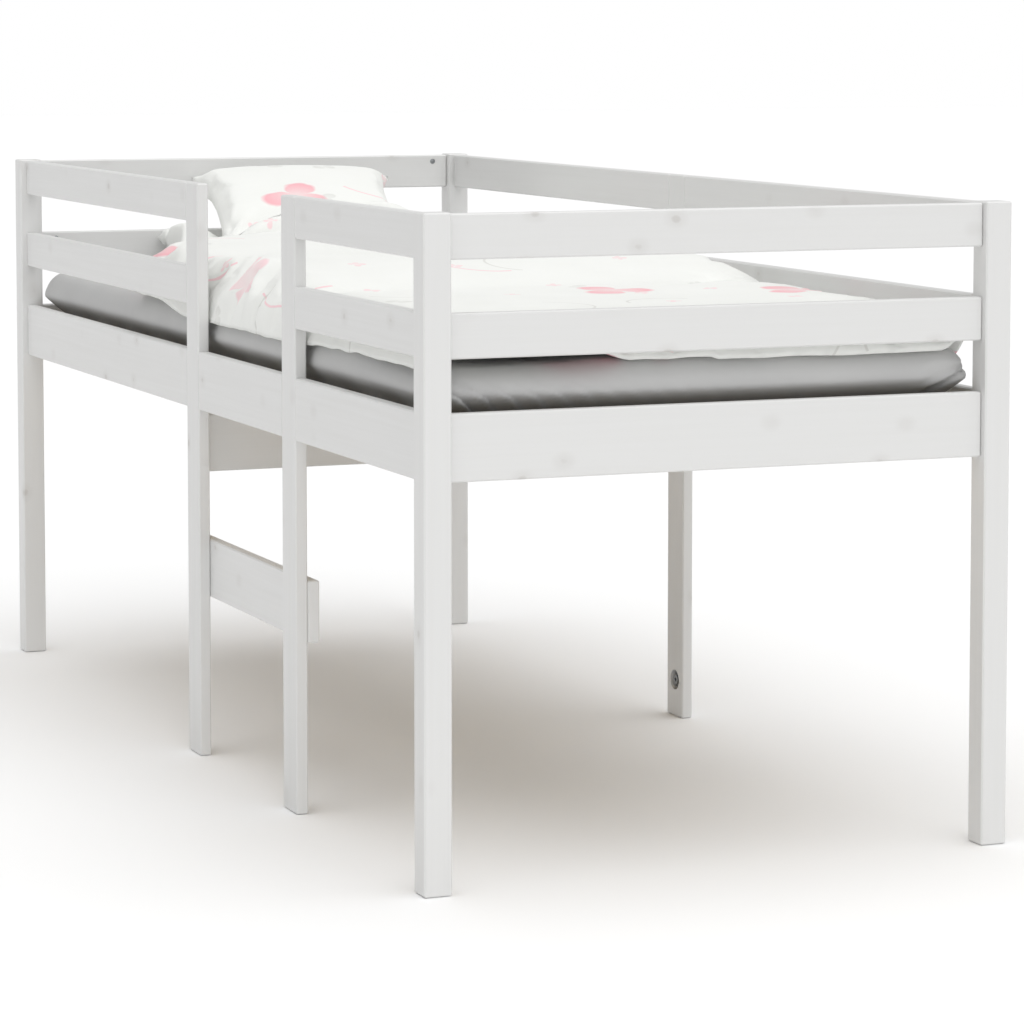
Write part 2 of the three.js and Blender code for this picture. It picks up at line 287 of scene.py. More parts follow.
def bare_pine(name, axis):
    """Planed softwood with no finish: pale straw early wood, darker late-wood lines and brown knots."""
    material, tree, shader = new_material(name)
    place = add_node(tree, "ShaderNodeTexCoord").outputs["Object"]
    ring_scale = [1 / 0.018] * 3
    ring_scale[axis] = 1 / 0.9
    ring_place = add_node(tree, "ShaderNodeMapping", {"Vector": place, "Scale": ring_scale})
    rings = add_node(
        tree, "ShaderNodeTexNoise",
        {"Vector": ring_place.outputs[0], "Scale": 1.0, "Detail": 5.0, "Distortion": 0.8},
    )
    lines = add_node(
        tree, "ShaderNodeTexWave",
        {"Vector": rings.outputs["Color"], "Scale": 3.2, "Distortion": 2.0, "Detail": 2.0},
    )
    tint = add_node(
        tree, "ShaderNodeMix",
        {0: lines.outputs["Fac"], 6: colour(0xE8D8B8), 7: colour(0xD4B88E)}, data_type="RGBA",
    )
    knot_scale = [1 / 0.09] * 3
    knot_scale[axis] = 1 / 0.2
    knot_place = add_node(tree, "ShaderNodeMapping", {"Vector": place, "Scale": knot_scale})
    cells = add_node(tree, "ShaderNodeTexVoronoi", {"Vector": knot_place.outputs[0], "Scale": 1.0})
    knot = add_node(
        tree, "ShaderNodeMapRange",
        {"Value": cells.outputs["Distance"], "From Min": 0.2, "From Max": 0.1, "To Max": 0.85},
        interpolation_type="SMOOTHSTEP",
    )
    wood = add_node(
        tree, "ShaderNodeMix",
        {0: knot.outputs[0], 6: tint.outputs[2], 7: colour(0x7C4B26)}, data_type="RGBA",
    )
    tree.links.new(wood.outputs[2], shader.inputs["Base Color"])
    bump = add_node(
        tree, "ShaderNodeBump", {"Strength": 0.4, "Distance": 0.3 * MM, "Height": lines.outputs["Fac"]},
    )
    tree.links.new(bump.outputs[0], shader.inputs["Normal"])
    gloss = add_node(
        tree, "ShaderNodeMapRange", {"Value": rings.outputs[0], "To Min": 0.55, "To Max": 0.72},
    )
    tree.links.new(gloss.outputs[0], shader.inputs["Roughness"])
    return material


def plated_steel(name, tint, low_gloss, high_gloss):
    """Zinc plated steel: a grey metal with a cloudy, slightly crystalline bloom and fine scratches."""
    material, tree, shader = new_material(name)
    place = add_node(tree, "ShaderNodeTexCoord").outputs["Object"]
    bloom = add_node(tree, "ShaderNodeTexNoise", {"Vector": place, "Scale": 1 / (2.5 * MM), "Detail": 5.0})
    shade = add_node(
        tree, "ShaderNodeMix",
        {0: bloom.outputs[0], 6: colour(tint), 7: colour(0xB9BCBE)}, data_type="RGBA",
    )
    tree.links.new(shade.outputs[2], shader.inputs["Base Color"])
    shader.inputs["Metallic"].default_value = 1.0
    gloss = add_node(
        tree, "ShaderNodeMapRange", {"Value": bloom.outputs[0], "To Min": low_gloss, "To Max": high_gloss},
    )
    tree.links.new(gloss.outputs[0], shader.inputs["Roughness"])
    scratch_place = add_node(
        tree, "ShaderNodeMapping",
        {"Vector": place, "Rotation": (0.4, 0.9, 0.3), "Scale": (300, 4000, 4000)},
    )
    scratch = add_node(tree, "ShaderNodeTexNoise", {"Vector": scratch_place.outputs[0], "Scale": 1.0})
    bump = add_node(
        tree, "ShaderNodeBump", {"Strength": 0.2, "Distance": 0.05 * MM, "Height": scratch.outputs[0]},
    )
    tree.links.new(bump.outputs[0], shader.inputs["Normal"])
    return material


CLOTH_PLACE = "cloth_place"


def mark_cloth(piece, wrap=False):
    """Remembers where each point lies on the flat cloth. With wrap, the way down the long sides and the
    foot end counts as cloth too, so that a print runs over the edge without smearing."""
    points = points_of(piece)
    flat = points.copy()
    if wrap:
        at_side = ease((np.abs(points[:, 1]) - 0.34) / 0.03)
        flat[:, 1] += np.sign(points[:, 1]) * np.maximum(0.74 - points[:, 2], 0) * at_side
        at_foot = ease((points[:, 0] - 0.93) / 0.03)
        flat[:, 0] += np.maximum(0.735 - points[:, 2], 0) * at_foot
    flat[:, 2] = 0
    layer = piece.data.attributes.new(CLOTH_PLACE, "FLOAT_VECTOR", "POINT")
    layer.data.foreach_set("vector", flat.ravel())


def printed_cells(tree, place, spacing, share, seed):
    """Random cells of a print: the distance and turn from each cell's centre, and whether the cell holds
    a figure."""
    moved = add_node(
        tree, "ShaderNodeMapping",
        {"Vector": place, "Location": (seed, seed * 1.7, 0), "Scale": (1 / spacing, 1 / spacing, 0)},
    )
    cells = add_node(
        tree, "ShaderNodeTexVoronoi", {"Vector": moved.outputs[0], "Scale": 1.0, "Randomness": 0.7},
        voronoi_dimensions="2D",
    )
    offset = add_node(
        tree, "ShaderNodeVectorMath", {0: moved.outputs[0], 1: cells.outputs["Position"]},
        operation="SUBTRACT",
    )
    parts = add_node(tree, "ShaderNodeSeparateXYZ", {"Vector": offset.outputs[0]})
    chance = add_node(tree, "ShaderNodeSeparateColor", {"Color": cells.outputs["Color"]})
    turn = math_node(tree, "ARCTAN2", parts.outputs[1], parts.outputs[0])
    turned = math_node(tree, "MULTIPLY_ADD", chance.outputs[1], math.tau, turn)
    kept = math_node(tree, "GREATER_THAN", chance.outputs[0], 1 - share)
    return cells.outputs["Distance"], turned, kept


def flower(tree, place, spacing, petals, radius, share, seed):
    """Flat flowers with rounded petals. The ink is strongest at the tips, like a brushed wash."""
    distance, turned, kept = printed_cells(tree, place, spacing, share, seed)
    wave = math_node(tree, "COSINE", math_node(tree, "MULTIPLY", turned, petals / 2))
    lobes = math_node(tree, "ABSOLUTE", wave)
    full = math_node(tree, "POWER", lobes, 0.6)
    reach = math_node(tree, "MULTIPLY_ADD", full, 0.8 * radius / spacing, 0.2 * radius / spacing)
    inside = math_node(tree, "SUBTRACT", reach, distance)
    edge = add_node(tree, "ShaderNodeMapRange", {"Value": inside, "From Min": 0.0, "From Max": 0.02})
    wash = add_node(
        tree, "ShaderNodeMapRange",
        {"Value": distance, "From Min": 0.0, "From Max": radius / spacing, "To Min": 0.35, "To Max": 1.0},
    )
    drawn = math_node(tree, "MULTIPLY", edge.outputs[0], wash.outputs[0])
    return math_node(tree, "MULTIPLY", drawn, kept)


def stem(tree, place, spacing, radius, width, share, seed):
    """Thin curved stems: part of a ring in some of the cells."""
    distance, turned, kept = printed_cells(tree, place, spacing, share, seed)
    off = math_node(tree, "ABSOLUTE", math_node(tree, "SUBTRACT", distance, radius / spacing))
    edge = add_node(
        tree, "ShaderNodeMapRange",
        {"Value": off, "From Min": width / spacing, "From Max": 0.5 * width / spacing},
    )
    arc = math_node(tree, "GREATER_THAN", math_node(tree, "COSINE", turned), 0.35)
    return math_node(tree, "MULTIPLY", math_node(tree, "MULTIPLY", edge.outputs[0], arc), kept)


def woven_cotton(name, base, shade, print_strength=0.0, painted_shade_heights=None):
    """Plain-weave cotton: matt, with a soft sheen at glancing angles. The threads are drawn about three
    times as coarse as real ones so that they show. A print is a sparse scatter of flowers, leaves and
    stems in thin pink and grey ink. With painted shade heights given, the cloth gets painted shade: it is
    darkened to grey below the first of two heights and left as it is above the second. This stands in
    for the shadow in the gap where the mattress meets the rail."""
    material, tree, shader = new_material(name)
    place = add_node(tree, "ShaderNodeTexCoord").outputs["Object"]
    cloud = add_node(tree, "ShaderNodeTexNoise", {"Vector": place, "Scale": 9.0, "Detail": 3.0})
    cloth = add_node(
        tree, "ShaderNodeMix",
        {0: cloud.outputs[0], 6: colour(base), 7: colour(shade)}, data_type="RGBA",
    ).outputs[2]
    if print_strength:
        flat = add_node(tree, "ShaderNodeAttribute", attribute_name=CLOTH_PLACE).outputs["Vector"]
        ripple = add_node(tree, "ShaderNodeTexNoise", {"Vector": flat, "Scale": 26.0, "Detail": 2.0})
        loose = add_node(
            tree, "ShaderNodeVectorMath",
            {0: ripple.outputs["Color"], 1: (0.018, 0.018, 0), 2: flat}, operation="MULTIPLY_ADD",
        ).outputs[0]
        inks = (
            (flower(tree, loose, 0.34, 5, 0.050, 0.4, 3.1), 0xF6BCC6, 0.7),
            (flower(tree, loose, 0.47, 3, 0.065, 0.4, 7.3), 0xF38A9C, 0.85),
            (flower(tree, loose, 0.15, 4, 0.014, 0.4, 1.7), 0xF7C3CB, 0.8),
            (flower(tree, loose, 0.19, 2, 0.022, 0.4, 5.2), 0xC4C4BE, 0.5),
            (stem(tree, flat, 0.30, 0.085, 0.003, 0.5, 6.6), 0xF5BAC4, 0.7),
            (stem(tree, flat, 0.24, 0.06, 0.0025, 0.4, 2.4), 0xCBCAC5, 0.6),
        )
        for mask, ink, strength in inks:
            amount = math_node(tree, "MULTIPLY", mask, strength * print_strength)
            cloth = add_node(
                tree, "ShaderNodeMix", {0: amount, 6: cloth, 7: colour(ink)}, data_type="RGBA",
            ).outputs[2]
    # Painted shade: grey is mixed into the cloth towards its bottom, in place of the shadow along the
    # rail's top.
    if painted_shade_heights:
        height = add_node(tree, "ShaderNodeSeparateXYZ", {"Vector": place}).outputs["Z"]
        unshaded_share = add_node(
            tree, "ShaderNodeMapRange", {"Value": height, "From Min": painted_shade_heights[0], "From Max": painted_shade_heights[1]},
            interpolation_type="SMOOTHSTEP",
        ).outputs[0]
        cloth = add_node(
            tree, "ShaderNodeMix", {0: unshaded_share, 6: colour(0x6E6E6D), 7: cloth}, data_type="RGBA",
        ).outputs[2]
    tree.links.new(cloth, shader.inputs["Base Color"])

    thread = 1.2 * MM
    weave = [
        add_node(
            tree, "ShaderNodeTexWave",
            {"Vector": place, "Scale": math.pi / (10 * thread), "Distortion": 0.6, "Detail": 1.0},
            bands_direction=direction,
        ).outputs["Fac"]
        for direction in "XY"
    ]
    crumple = add_node(tree, "ShaderNodeTexNoise", {"Vector": place, "Scale": 30.0, "Detail": 4.0})
    fine = add_node(
        tree, "ShaderNodeBump",
        {"Strength": 0.25, "Distance": 0.15 * MM, "Height": math_node(tree, "ADD", *weave)},
    )
    soft = add_node(
        tree, "ShaderNodeBump",
        {"Strength": 0.3, "Distance": 2.0 * MM, "Height": crumple.outputs[0], "Normal": fine.outputs[0]},
    )
    tree.links.new(soft.outputs[0], shader.inputs["Normal"])
    rough = add_node(
        tree, "ShaderNodeMapRange", {"Value": cloud.outputs[0], "To Min": 0.82, "To Max": 0.94},
    )
    tree.links.new(rough.outputs[0], shader.inputs["Roughness"])
    shader.inputs["Sheen Weight"].default_value = 0.15
    shader.inputs["Sheen Roughness"].default_value = 0.5
    return material


# ---- Soft shapes -----------------------------------------------------------------------------------

def mesh_piece(name, points, faces):
    """A smooth-shaded piece from its points and faces."""
    mesh = bpy.data.meshes.new(name)
    mesh.from_pydata([tuple(p) for p in points], [], faces)
    piece = bpy.data.objects.new(name, mesh)
    bpy.context.scene.collection.objects.link(piece)
    mesh.shade_smooth()
    return piece


def steps_between(low, high, spacing):
    """Even steps from low to high, about a spacing apart."""
    return np.linspace(low, high, max(2, round((high - low) / spacing) + 1))


def rounded_block(name, low, high, radius, spacing):
    """A closed block with round edges, made of six grids whose points are pulled onto the rounding."""
    centre = (np.array(low) + np.array(high)) / 2
    half = (np.array(high) - np.array(low)) / 2
    points = []
    faces = []
    for axis in range(3):
        u_axis, v_axis = (axis + 1) % 3, (axis + 2) % 3
        u = steps_between(-half[u_axis], half[u_axis], spacing[u_axis])
        v = steps_between(-half[v_axis], half[v_axis], spacing[v_axis])
        for sign in (-1, 1):
            grid = np.zeros((len(u), len(v), 3))
            grid[..., axis] = sign * half[axis]
            grid[..., u_axis] = u[:, None]
            grid[..., v_axis] = v[None, :]
            start = len(points)
            points.extend(grid.reshape(-1, 3))
            for i in range(len(u) - 1):
                for j in range(len(v) - 1):
                    a = start + i * len(v) + j
                    face = (a, a + len(v), a + len(v) + 1, a + 1)
                    faces.append(face if sign > 0 else face[::-1])
    points = np.array(points)
    core = np.clip(points, -(half - radius), half - radius)
    away = points - core
    length = np.linalg.norm(away, axis=1, keepdims=True)
    points = core + away / np.maximum(length, 1e-9) * np.minimum(length, radius) + centre
    piece = mesh_piece(name, points, faces)
    weld(piece, 0.2 * MM)
    return piece


def weld(piece, distance):
    """Joins points that lie together, and turns every face outwards."""
    work = bmesh.new()
    work.from_mesh(piece.data)
    bmesh.ops.remove_doubles(work, verts=work.verts, dist=distance)
    bmesh.ops.dissolve_degenerate(work, edges=work.edges, dist=1e-6)
    bmesh.ops.recalc_face_normals(work, faces=work.faces)
    work.to_mesh(piece.data)
    work.free()
    piece.data.update()


def shell(name, top, bottom):
    """A closed shell from two grids of points over the same outline."""
    rows, columns = top.shape[:2]
    points = np.concatenate([top.reshape(-1, 3), bottom.reshape(-1, 3)])
    under = rows * columns
    faces = []
    for i in range(rows - 1):
        for j in range(columns - 1):
            a = i * columns + j
            faces.append((a, a + columns, a + columns + 1, a + 1))
            b = a + under
            faces.append((b, b + 1, b + columns + 1, b + columns))
    rim = [(i, 0) for i in range(rows)]
    rim += [(rows - 1, j) for j in range(1, columns)]
    rim += [(i, columns - 1) for i in range(rows - 2, -1, -1)]
    rim += [(0, j) for j in range(columns - 2, 0, -1)]
    for (i0, j0), (i1, j1) in zip(rim, rim[1:] + rim[:1]):
        a, b = i0 * columns + j0, i1 * columns + j1
        faces.append((b, a, a + under, b + under))
    piece = mesh_piece(name, points, faces)
    weld(piece, 1e-5)
    return piece


def pillow_corners(piece):
    """How firmly a pillow's sewn corners keep their points while it swells."""
    points = np.abs(points_of(piece))
    tips = points.max(axis=0)
    away = np.hypot(points[:, 0] - tips[0], points[:, 1] - tips[1])
    return np.clip(1.0 - away / 0.05, 0, 1)


def inflate(piece, pressure, growth, frames, cap, held=None, stiffness=15.0):
    """Swells a soft piece by cloth simulation, and keeps every point within cap of where it started.
    held is how firmly each point stays where it is, from 0 to 1."""
    start = points_of(piece)
    modifier = piece.modifiers.new("Swell", "CLOTH")
    cloth = modifier.settings
    cloth.quality = 5
    cloth.mass = 0.3
    cloth.tension_stiffness = stiffness
    cloth.compression_stiffness = stiffness
    cloth.shear_stiffness = 5.0
    cloth.bending_stiffness = 0.5
    cloth.use_pressure = True
    cloth.uniform_pressure_force = pressure
    cloth.shrink_min = -growth
    cloth.effector_weights.gravity = 0.0
    modifier.collision_settings.use_collision = False
    if held is not None:
        group = piece.vertex_groups.new(name="held")
        for level in np.unique(np.round(held, 1)):
            if level > 0:
                chosen = np.nonzero(np.round(held, 1) == level)[0]
                group.add([int(i) for i in chosen], float(level), "REPLACE")
        cloth.vertex_group_mass = "held"
    modifier.point_cache.frame_start = 1
    modifier.point_cache.frame_end = frames
    scene = bpy.context.scene
    for number in range(1, frames + 1):
        scene.frame_set(number)
    apply_modifier(piece, modifier)
    scene.frame_set(1)
    if held is not None:
        piece.vertex_groups.clear()
    moved = points_of(piece) - start
    length = np.linalg.norm(moved, axis=1, keepdims=True)
    set_points(piece, start + moved * np.minimum(1.0, cap / np.maximum(length, 1e-9)))


def tree_of(piece):
    """A piece's faces, ready to be met by rays."""
    work = bmesh.new()
    work.from_mesh(piece.data)
    tree = BVHTree.FromBMesh(work)
    work.free()
    return tree


def wander(points, scale, seed):
    """Smooth noise between about -1 and 1 at each point."""
    shift = Vector((seed, seed * 0.37, -seed * 0.71))
    return np.array([noise.noise(Vector(p) / scale + shift) for p in points])


# ---- Mattress --------------------------------------------------------------------------------------

def make_mattress(settings):
    """A foam mattress in a fitted sheet: soft edges, pinched corners, and pleats at the foot end."""
    piece = rounded_block(
        "mattress_in_sheet", MATTRESS_LOW, MATTRESS_HIGH, settings.mattress_edge, (0.010, 0.006, 0.0045),
    )
    points = points_of(piece)
    x, y, z = points.T
    above = z - MATTRESS_LOW.z
    rise = above / (MATTRESS_HIGH.z - MATTRESS_LOW.z)
    half_x, half_y = MATTRESS_HIGH.x, MATTRESS_HIGH.y

    # The corners come to a blunt point at half height, where the sheet is pulled round them.
    over_x = np.maximum(np.abs(x) - (half_x - settings.mattress_edge), 0)
    over_y = np.maximum(np.abs(y) - (half_y - settings.mattress_edge), 0)
    reach = np.maximum(np.hypot(over_x, over_y), 1e-6)
    squared = ((over_x / reach) ** 5 + (over_y / reach) ** 5 + 1e-9) ** (-1 / 5)
    push = np.where(np.minimum(over_x, over_y) > 0, squared - 1, 0) * np.exp(-((rise - 0.52) / 0.26) ** 2)
    x = x + np.sign(x) * over_x * push
    y = y + np.sign(y) * over_y * push

    # The sides are fullest a little above half height and draw in towards the rails below.
    near_end = ease((np.abs(x) - (half_x - 0.07)) / 0.05)
    near_side = ease((np.abs(y) - (half_y - 0.07)) / 0.05)
    drawn_in = 0.050 * np.clip((0.056 - above) / 0.056, 0, 1)
    loose = 1 + wander(np.stack([x, y * 0, z * 0], 1), 0.35, 14)
    sag = 0.003 * loose * np.cos(np.pi * x / 2 / half_x) ** 0.3
    x -= np.sign(x) * near_end * drawn_in
    y -= np.sign(y) * near_side * (drawn_in + sag)

    # It dips a little under the duvet at the ladder-side corner of the foot end.
    dip = ease((-0.10 - y) / 0.12) * ease((x - 0.68) / 0.2) * ease((rise - 0.5) / 0.3)
    z = z - 0.008 * dip

    # Pleats on the foot end: narrow ridges slanting down from the ladder-side corner.
    from_corner = y + half_y
    on_foot = ease((x - (half_x - 0.05)) / 0.03)
    waver = wander(np.stack([x * 0, y, z], 1), 0.05, 3)
    slanted = from_corner + above * 1.15 + 0.006 * waver
    fade = np.exp(-np.maximum(from_corner, 0) / 0.16) * ease((0.92 - rise) / 0.4)
    phase = (slanted / settings.pleat_spacing) % 1.0
    ridge = np.exp(-((phase - 0.5) / 0.12) ** 2) - 0.6 * np.exp(-((phase - 0.75) / 0.10) ** 2)
    x += on_foot * fade * (ridge * 0.014 - 0.004)

    # The folded corner at the far side of the foot end: a flap that laps over on a slant.
    across = half_y - y
    lap = above - 0.040 - (0.066 - across) * 0.5
    shown = ease((0.085 - across) / 0.02)
    x += on_foot * shown * 0.005 * ease(lap / 0.003)
    x -= on_foot * shown * 0.009 * np.exp(-((lap + 0.002) / 0.004) ** 2)
    second = above - 0.078 + across * 0.35
    x -= on_foot * shown * 0.007 * np.exp(-(second / 0.004) ** 2)

    points = np.stack([x, y, z], 1)
    normals = np.empty(len(points) * 3)
    piece.data.vertices.foreach_get("normal", normals)
    stretched = points * np.array((0.35, 0.35, 1.0))
    drift = wander(points, 0.22, 11) * 0.0016 + wander(stretched, 0.03, 5) * 0.0009
    points += normals.reshape(-1, 3) * drift[:, None]
    set_points(piece, np.clip(points, np.array(MATTRESS_LOW), np.array(MATTRESS_HIGH)))
    return piece


# ---- Pillows ---------------------------------------------------------------------------------------

def pillow_shell(name, length, width, thickness, spacing, pinch):
    """A sewn pillow lying flat at the origin: two panels joined at the rim, drawn in between its pointed
    corners."""
    u = np.linspace(-1, 1, round(length / spacing) + 1)
    v = np.linspace(-1, 1, round(width / spacing) + 1)
    u, v = np.meshgrid(u, v, indexing="ij")
    x = u * length / 2 * (1 - pinch * (1 - v * v) * u * u)
    y = v * width / 2 * (1 - pinch * (1 - u * u) * v * v)
    crown = ((1 - u * u) * (1 - v * v)) ** 0.45
    top = np.stack([x, y, thickness / 2 * crown], -1)
    bottom = np.stack([x, y, -thickness / 2 * crown], -1)
    return shell(name, top, bottom)


def place_pillow(points, centre, lean, yaw):
    """Leans a pillow up towards the head end, turns it in plan, and sets it down."""
    turn = Matrix.Rotation(math.radians(-yaw), 3, "Z") @ Matrix.Rotation(math.radians(lean), 3, "Y")
    return points @ np.array(turn).T + np.array(centre)


def make_lower_pillow(settings):
    """The pillow that lies flat under the other one."""
    low = LOWER_PILLOW_LOW
    piece = pillow_shell(
        "pillow_flat", length=0.39, width=0.50, thickness=0.044, spacing=0.008, pinch=0.08,
    )
    mark_cloth(piece)
    inflate(
        piece, settings.pillow_pressure * 0.6, growth=0.05, frames=14, cap=10 * MM,
        held=pillow_corners(piece),
    )
    points = points_of(piece)
    # The end that the upper pillow leaves free stands up plump.
    free_end = ease((-0.13 - points[:, 1]) / 0.08) * (0.4 + 0.6 * ease((0.12 - points[:, 0]) / 0.12))
    points[:, 2] = np.clip(points[:, 2], -0.028, 0.028) * (1 + 0.55 * free_end)
    points[:, 2] += free_end * 0.026 + 0.0025 * wander(points, 0.06, 21)
    points = place_pillow(points, (-0.797, 0.03, low.z + 0.0285), 0, settings.pillow_yaw)
    # Its corner is pressed flat where it meets the head end.
    give = 0.02
    over = np.maximum(low.x + give - points[:, 0], 0)
    points[:, 0] += over - give * (1 - np.exp(-over / give))
    points[:, 2] = np.maximum(points[:, 2], low.z + 0.0005)
    set_points(piece, points)
    return piece


def press_under(lower, upper):
    """The lower pillow gives way wherever the upper one lies on it."""
    tree = tree_of(upper)
    points = points_of(lower)
    for point in points:
        for aside in ((0, 0), (0.006, 0), (-0.006, 0), (0, 0.006), (0, -0.006)):
            start = Vector((point[0] + aside[0], point[1] + aside[1], 0.5))
            hit = tree.ray_cast(start, Vector((0, 0, 1)))[0]
            if hit is not None:
                point[2] = min(point[2], hit.z - 0.0012)
    set_points(lower, points)


def make_upper_pillow(settings):
    """The pillow that leans up towards the head end, with its lower end under the duvet."""
    low = UPPER_PILLOW_LOW
    piece = pillow_shell(
        "pillow_leaning", length=0.415, width=0.365, thickness=0.084, spacing=0.0075, pinch=0.07,
    )
    mark_cloth(piece)
    inflate(
        piece, settings.pillow_pressure, growth=0.045, frames=14, cap=12 * MM,
        held=pillow_corners(piece),
    )
    points = points_of(piece)
    # The duvet presses on its lower end.
    points[:, 2] *= 1 - 0.45 * ease((points[:, 0] - 0.07) / 0.1)
    # Gathers where the cloth is drawn into the seam at the corner nearest the ladder.
    away = points - np.array((0.2, -0.17, 0))
    far = np.linalg.norm(away, axis=1)
    turn = np.arctan2(away[:, 1], -away[:, 0])
    points[:, 2] += 0.005 * np.sin(turn * 15) * np.exp(-((far - 0.06) / 0.045) ** 2) * np.sign(points[:, 2])
    centre = (-0.778, 0.03, settings.pillow_height)
    points = place_pillow(points, centre, settings.pillow_lean, settings.pillow_yaw)
    points[:, 0] = np.maximum(points[:, 0], low.x - 0.004)
    set_points(piece, points)
    return piece


# ---- Duvet -----------------------------------------------------------------------------------------

def surface_under(pieces, x, y, floor):
    """Height of the highest surface at each place, or floor where there is none."""
    trees = [tree_of(piece) for piece in pieces]
    heights = np.full(x.shape, floor)
    for index in np.ndindex(x.shape):
        for tree in trees:
            hit = tree.ray_cast(Vector((x[index], y[index], 2.0)), Vector((0, 0, -1)))[0]
            if hit is not None:
                heights[index] = max(heights[index], hit.z)
    return heights


def highest_nearby(grid):
    """The highest of each value and its eight neighbours."""
    padded = np.pad(grid, 1, mode="edge")
    rows, columns = grid.shape
    return np.max([padded[i:i + rows, j:j + columns] for i in range(3) for j in range(3)], axis=0)


def smooth_grid(grid, passes):
    """Evens out a grid of heights."""
    for _ in range(passes):
        padded = np.pad(grid, 1, mode="edge")
        grid = (
            padded[:-2, 1:-1] + padded[2:, 1:-1] + padded[1:-1, :-2] + padded[1:-1, 2:] + 4 * grid
        ) / 8
    return grid


def graded(low, high, spacing, fine, border):
    """Stations from low to high, closer together within border of either end."""
    inner = steps_between(low + border, high - border, spacing)
    return np.concatenate([
        steps_between(low, low + border, fine)[:-1], inner, steps_between(high - border, high, fine)[1:],
    ])


def rounding(distance, radius, power):
    """0 at an edge, 1 a radius in from it, on a rounded curve."""
    inward = np.clip(distance / radius, 0, 1)
    return np.clip(1 - (1 - inward) ** power, 0, 1) ** (1 / power)


def make_duvet(settings, mattress, pillows):
    """A duvet that lies on the mattress and the pillows' lower ends, and turns down over the long sides."""
    half = RAIL_INNER_Y - 0.0025
    foot = DUVET_FOOT
    across = graded(-half, half, 0.011, 0.004, 0.035)
    # The head-side hem runs straight across, and falls back towards the foot at the ladder side.
    hem_x = np.interp(across, (-half, -0.36, -0.27, -0.14, -0.05), (-0.40, -0.42, -0.534, -0.628, -0.655))
    along = graded(0, 1, 0.0066, 0.0025, 0.02)[:, None]
    x = hem_x[None, :] + (foot - hem_x[None, :]) * along
    ripple = wander(np.stack([across * 0, across, across * 0], 1), 0.07, 4)
    x = x + 0.004 * ripple[None, :] * (1 - along) ** 8
    y = np.broadcast_to(across[None, :], x.shape).copy()
    seats = np.stack([x, y, np.zeros_like(x)], -1).reshape(-1, 3)

    # Underneath, it lies on the mattress and the pillows and turns down over the mattress's long edges.
    ground = np.maximum(
        surface_under([mattress], x, y, MATTRESS_LOW.z),
        highest_nearby(surface_under(pillows, x, y, MATTRESS_LOW.z)),
    )
    ladder_hem = np.interp(
        x, (-0.42, -0.25, -0.13, 0.03, 0.43, 0.50, 0.68, 0.92, 1.0),
        (0.698, 0.697, 0.679, 0.677, 0.676, 0.681, 0.685, 0.683, 0.692),
    )
    side_hem = np.where(y < 0, ladder_hem, settings.duvet_hem)
    side_hem = side_hem + 0.0025 * wander(seats, 0.045, 7).reshape(x.shape)
    end_hem = 0.6885 + 0.0022 * wander(seats, 0.06, 17).reshape(x.shape)
    at_foot = ease((x - (foot - 0.05)) / 0.04)
    floor = side_hem * (1 - at_foot) + np.maximum(side_hem, end_hem) * at_foot
    lying = np.maximum(ground + 0.0015, floor)
    at_rim = (np.abs(y) > half - 0.006) | (x > foot - 0.006)
    under = lying.copy()
    for _ in range(10):
        under = np.where(at_rim, lying, np.maximum(smooth_grid(under, 2), lying))
    # At the ladder-side corner of the foot end it stands clear of the mattress, and at the far corner
    # it is drawn up to a point.
    tent = ease((-0.12 - y) / 0.05) * ease((x - 0.62) / 0.15) * ease((y + half - 0.002) / 0.02)
    tip = ease((y - 0.345) / 0.04) * ease((x - 0.93) / 0.06)
    under = under + tent * np.maximum(0.7035 - under, 0) + tip * np.maximum(0.712 - under, 0)

    crown = np.interp(
        x, (-0.66, -0.45, -0.11, 0.0, 0.12, 0.24, 0.33, 0.42, 0.64, 0.9, 1.01),
        (0.764, 0.757, 0.748, 0.752, 0.760, 0.756, 0.744, 0.727, 0.724, 0.721, 0.714),
    )
    crown = crown + settings.duvet_puff * wander(seats, 0.30, 2).reshape(x.shape)
    crown = crown + 0.35 * settings.duvet_puff * wander(seats, 0.13, 9).reshape(x.shape)
    crown = smooth_grid(np.maximum(crown, under + 0.012), 6)
    edge = 0.006
    from_side = rounding(half - np.abs(y), 0.055, 2.3)
    from_foot = rounding(foot - x, 0.10, 2.2)
    from_head = rounding(x - hem_x[None, :], 0.07, 2.0)
    lift = np.maximum(crown - under - edge, 0.006)
    top = under + edge + lift * from_side * from_foot * from_head

    piece = shell("duvet_in_cover", np.stack([x, y, top], -1), np.stack([x, y, under], -1))
    mark_cloth(piece, wrap=True)
    start = points_of(piece)
    held = np.full(len(start), 0.0)
    held[x.size:] = 1.0
    rim = (np.abs(start[:, 1]) > half - 0.002) | (start[:, 0] > foot - 0.002)
    held[rim] = np.maximum(held[rim], 0.8)
    inflate(
        piece, settings.duvet_pressure, settings.duvet_slack, frames=20, cap=24 * MM,
        held=held, stiffness=10.0,
    )
    points = points_of(piece)

    # Crumples at the ladder-side corner of the head hem, and one crease in the side beside the ladder.
    is_top = np.arange(len(points)) < x.size
    corner = ease((-0.28 - points[:, 1]) / 0.08) * ease((-0.16 - points[:, 0]) / 0.12) * is_top
    points[:, 2] += corner * 0.006 * wander(points * np.array((1.0, 0.5, 1.0)), 0.035, 31)
    crease_z = 0.703 - 0.10 * (points[:, 0] - 0.03) + 0.5 * (points[:, 0] - 0.06) ** 2
    side = ease((-0.35 - points[:, 1]) / 0.03) * ease((0.17 - points[:, 0]) / 0.06)
    side = side * ease((points[:, 0] + 0.10) / 0.05) * is_top
    points[:, 1] += side * 0.010 * np.exp(-((points[:, 2] - crease_z) / 0.0045) ** 2)
    points[:, 1] = np.clip(points[:, 1], -half - 0.0005, half + 0.0005)
